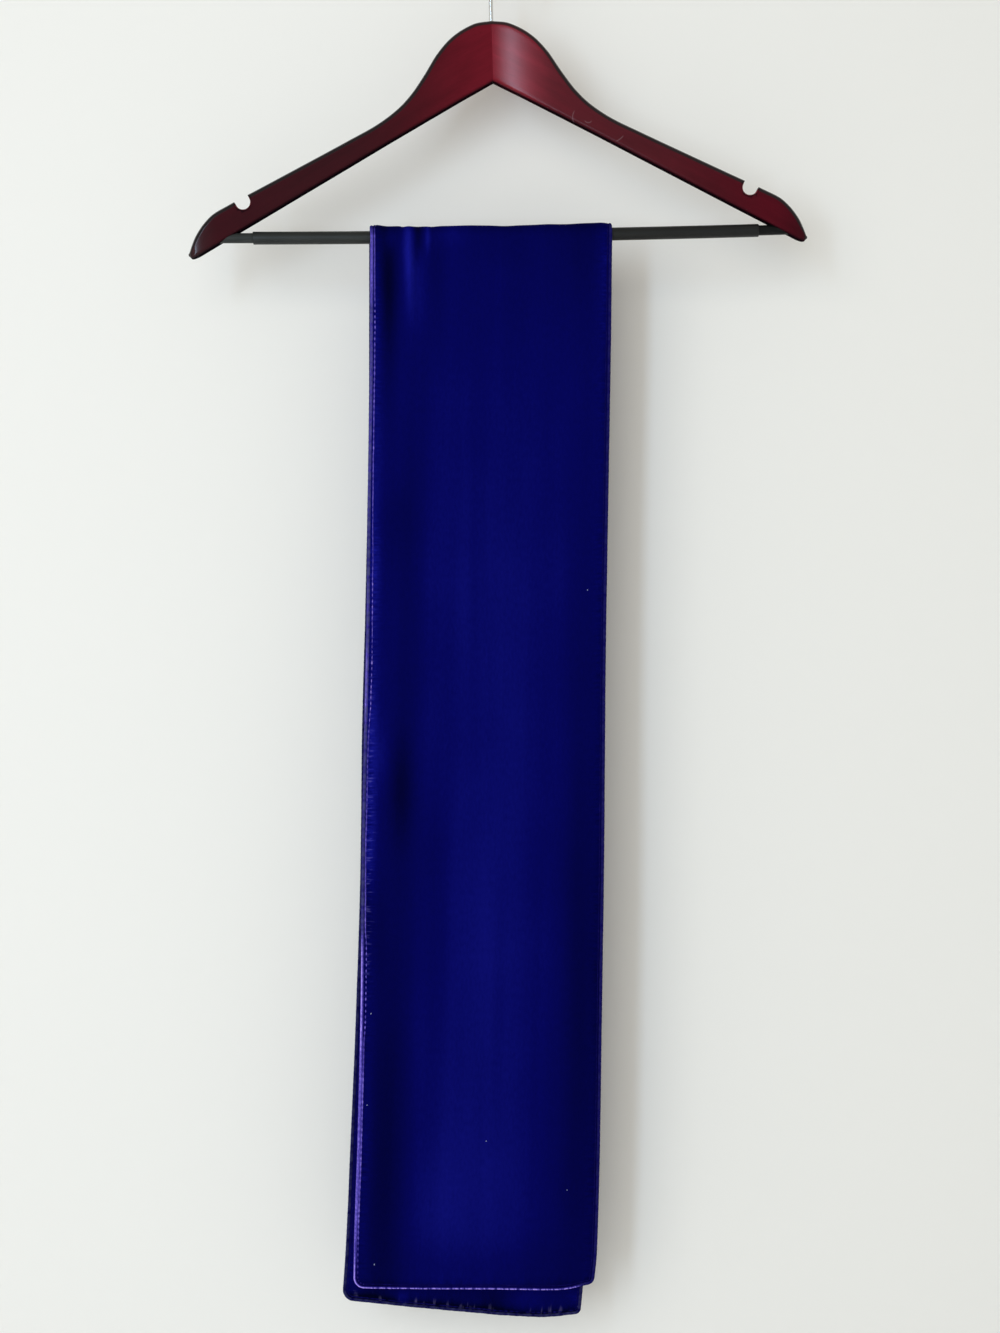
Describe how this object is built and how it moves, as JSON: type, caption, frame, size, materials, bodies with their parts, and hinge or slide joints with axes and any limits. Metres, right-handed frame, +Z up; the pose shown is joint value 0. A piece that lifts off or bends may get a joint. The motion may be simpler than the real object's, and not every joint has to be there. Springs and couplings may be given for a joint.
{
  "type": "velvet scarf on a wooden hanger",
  "caption": "Long narrow double-sided velvet scarf laid over the trouser bar of a swept wooden hanger that hangs by its wire hook.",
  "frame": {"origin": "the hanging point: the underside of the bend of the hanger's hook, where a rail or peg carries it", "axes": "+Z up, +X along the hanger to the viewer's right, -Y from the scarf's front fall towards the viewer"},
  "size_m": [0.4466, 0.03, 1.0111],
  "materials": {
    "velvet": "deep royal blue velvet with a short pile and a violet sheen on its edges",
    "lacquered_wood": "dark red-brown stain under gloss lacquer",
    "sleeve_rubber": "black non-slip sleeve, satin",
    "bar_paint": "dark painted steel, satin",
    "hook_chrome": "bright plated wire"
  },
  "bodies": {
    "root": {"velvet_outer": "velvet", "velvet_under": "velvet", "arm_left": "lacquered_wood", "arm_right": "lacquered_wood", "bar_core": "bar_paint", "bar_sleeve": "sleeve_rubber", "hook": "hook_chrome"}
  },
  "joints": []
}
